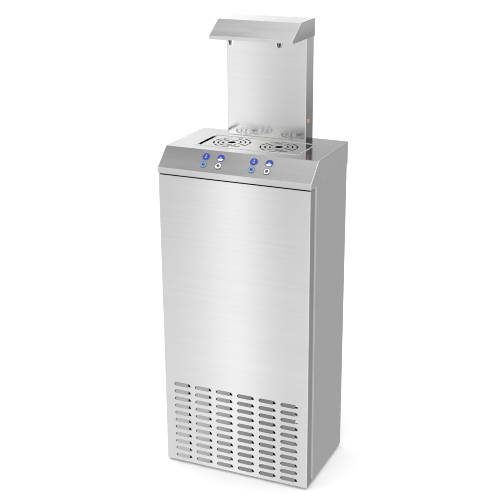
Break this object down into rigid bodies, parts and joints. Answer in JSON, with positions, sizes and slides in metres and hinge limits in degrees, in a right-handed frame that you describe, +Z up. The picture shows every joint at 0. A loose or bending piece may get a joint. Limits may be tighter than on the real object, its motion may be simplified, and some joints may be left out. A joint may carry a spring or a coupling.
{
  "type": "drinking fountain",
  "caption": "Floor-standing stainless chilled-water fountain: louvred cabinet, sloped control fascia, drip grille and a spout column under a folded hood.",
  "frame": {"origin": "on the floor, at the middle of the overall width and depth", "axes": "+X right seen from the front, +Y to the back, +Z up"},
  "size_m": [0.4868, 0.314, 1.39],
  "materials": {
    "brushed_steel": "brushed 304 stainless sheet, grain along the fold",
    "galvanised": "galvanised steel sheet",
    "chrome": "polished chrome plating",
    "stainless_hardware": "turned stainless",
    "zinc_fastener": "zinc plated",
    "black_plastic": "fine textured black plastic",
    "white_plastic": "satin white plastic",
    "label_blue": "glossy domed blue label",
    "led_blue": "translucent pale blue, lit",
    "led_white": "translucent white, lit",
    "lamp_orange": "translucent orange, lit",
    "brass": "turned brass",
    "copper": "drawn copper tube",
    "black_enamel": "black enamel",
    "rubber": "moulded rubber",
    "clear_hose": "milky food-grade hose",
    "circuit_board": "green solder mask",
    "foam_grey": "foamed insulation skin",
    "aluminium_fins": "thin plain fins"
  },
  "bodies": {
    "cabinet": {"levelling_feet": "black_plastic", "foot_locknuts": "zinc_fastener", "base_tray": "galvanised", "front_panel": "brushed_steel", "side_panel_left": "brushed_steel", "side_panel_right": "brushed_steel", "frame_posts": "brushed_steel", "frame_rails": "galvanised", "cooler_shelf": "galvanised", "back_panel": "galvanised", "service_plate": "galvanised", "water_inlet": "brass", "drain_outlet": "white_plastic", "mains_inlet": "black_plastic", "panel_screws": "stainless_hardware", "worktop_cap": "brushed_steel", "cap_screws": "stainless_hardware", "drip_basin": "brushed_steel", "drain_hose": "clear_hose", "icon_labels": "label_blue", "button_housings": "stainless_hardware", "led_rings_chilled": "led_blue", "led_rings_still": "led_white", "button_nuts": "zinc_fastener", "control_box": "white_plastic", "control_box_lid": "white_plastic", "control_board": "circuit_board", "column_shell": "brushed_steel", "column_back_cover": "brushed_steel", "column_screws": "stainless_hardware", "hood_shell": "brushed_steel", "hood_underplate": "brushed_steel", "spouts": "chrome", "spout_nuts": "zinc_fastener", "lamp_bezel": "chrome", "lamp_lens": "lamp_orange", "outlet_tubes": "clear_hose", "solenoid_valves": "white_plastic", "valve_manifolds": "white_plastic", "compressor": "black_enamel", "compressor_grommets": "rubber", "compressor_bolts": "zinc_fastener", "condenser": "aluminium_fins", "fan_shroud": "galvanised", "fan_bracket": "galvanised", "fan_motor": "black_enamel", "filter_drier": "copper", "refrigerant_lines": "copper", "chiller_tank": "foam_grey", "chiller_lid": "foam_grey", "evaporator_coil": "copper", "water_coils": "stainless_hardware", "agitator_motor": "black_enamel"},
    "grille": {"drip_grille": "brushed_steel"},
    "button_left_chilled": {"button_cap_left_chilled": "stainless_hardware"},
    "button_left_still": {"button_cap_left_still": "stainless_hardware"},
    "button_right_chilled": {"button_cap_right_chilled": "stainless_hardware"},
    "button_right_still": {"button_cap_right_still": "stainless_hardware"},
    "fan": {"fan_rotor": "black_plastic"},
    "agitator": {"agitator": "stainless_hardware"}
  },
  "joints": [
    {"name": "grille_lift", "type": "slide", "parent": "cabinet", "child": "grille", "axis": [0, 0, 1], "range_m": [0, 0.12]},
    {"name": "button_left_chilled_press", "type": "slide", "parent": "cabinet", "child": "button_left_chilled", "axis": [0, 0.6746, -0.7382], "range_m": [0, 0.0015], "stiffness_N_per_m": 1200, "springref_m": -0.001},
    {"name": "button_left_still_press", "type": "slide", "parent": "cabinet", "child": "button_left_still", "axis": [0, 0.6746, -0.7382], "range_m": [0, 0.0015], "stiffness_N_per_m": 1200, "springref_m": -0.001},
    {"name": "button_right_chilled_press", "type": "slide", "parent": "cabinet", "child": "button_right_chilled", "axis": [0, 0.6746, -0.7382], "range_m": [0, 0.0015], "stiffness_N_per_m": 1200, "springref_m": -0.001},
    {"name": "button_right_still_press", "type": "slide", "parent": "cabinet", "child": "button_right_still", "axis": [0, 0.6746, -0.7382], "range_m": [0, 0.0015], "stiffness_N_per_m": 1200, "springref_m": -0.001},
    {"name": "fan_spin", "type": "hinge", "parent": "cabinet", "child": "fan", "pos_m": [0, -0.086, 0.168], "axis": [0, 1, 0], "continuous": true},
    {"name": "agitator_spin", "type": "hinge", "parent": "cabinet", "child": "agitator", "pos_m": [0, 0.006, 0.6], "axis": [0, 0, 1], "continuous": true}
  ]
}
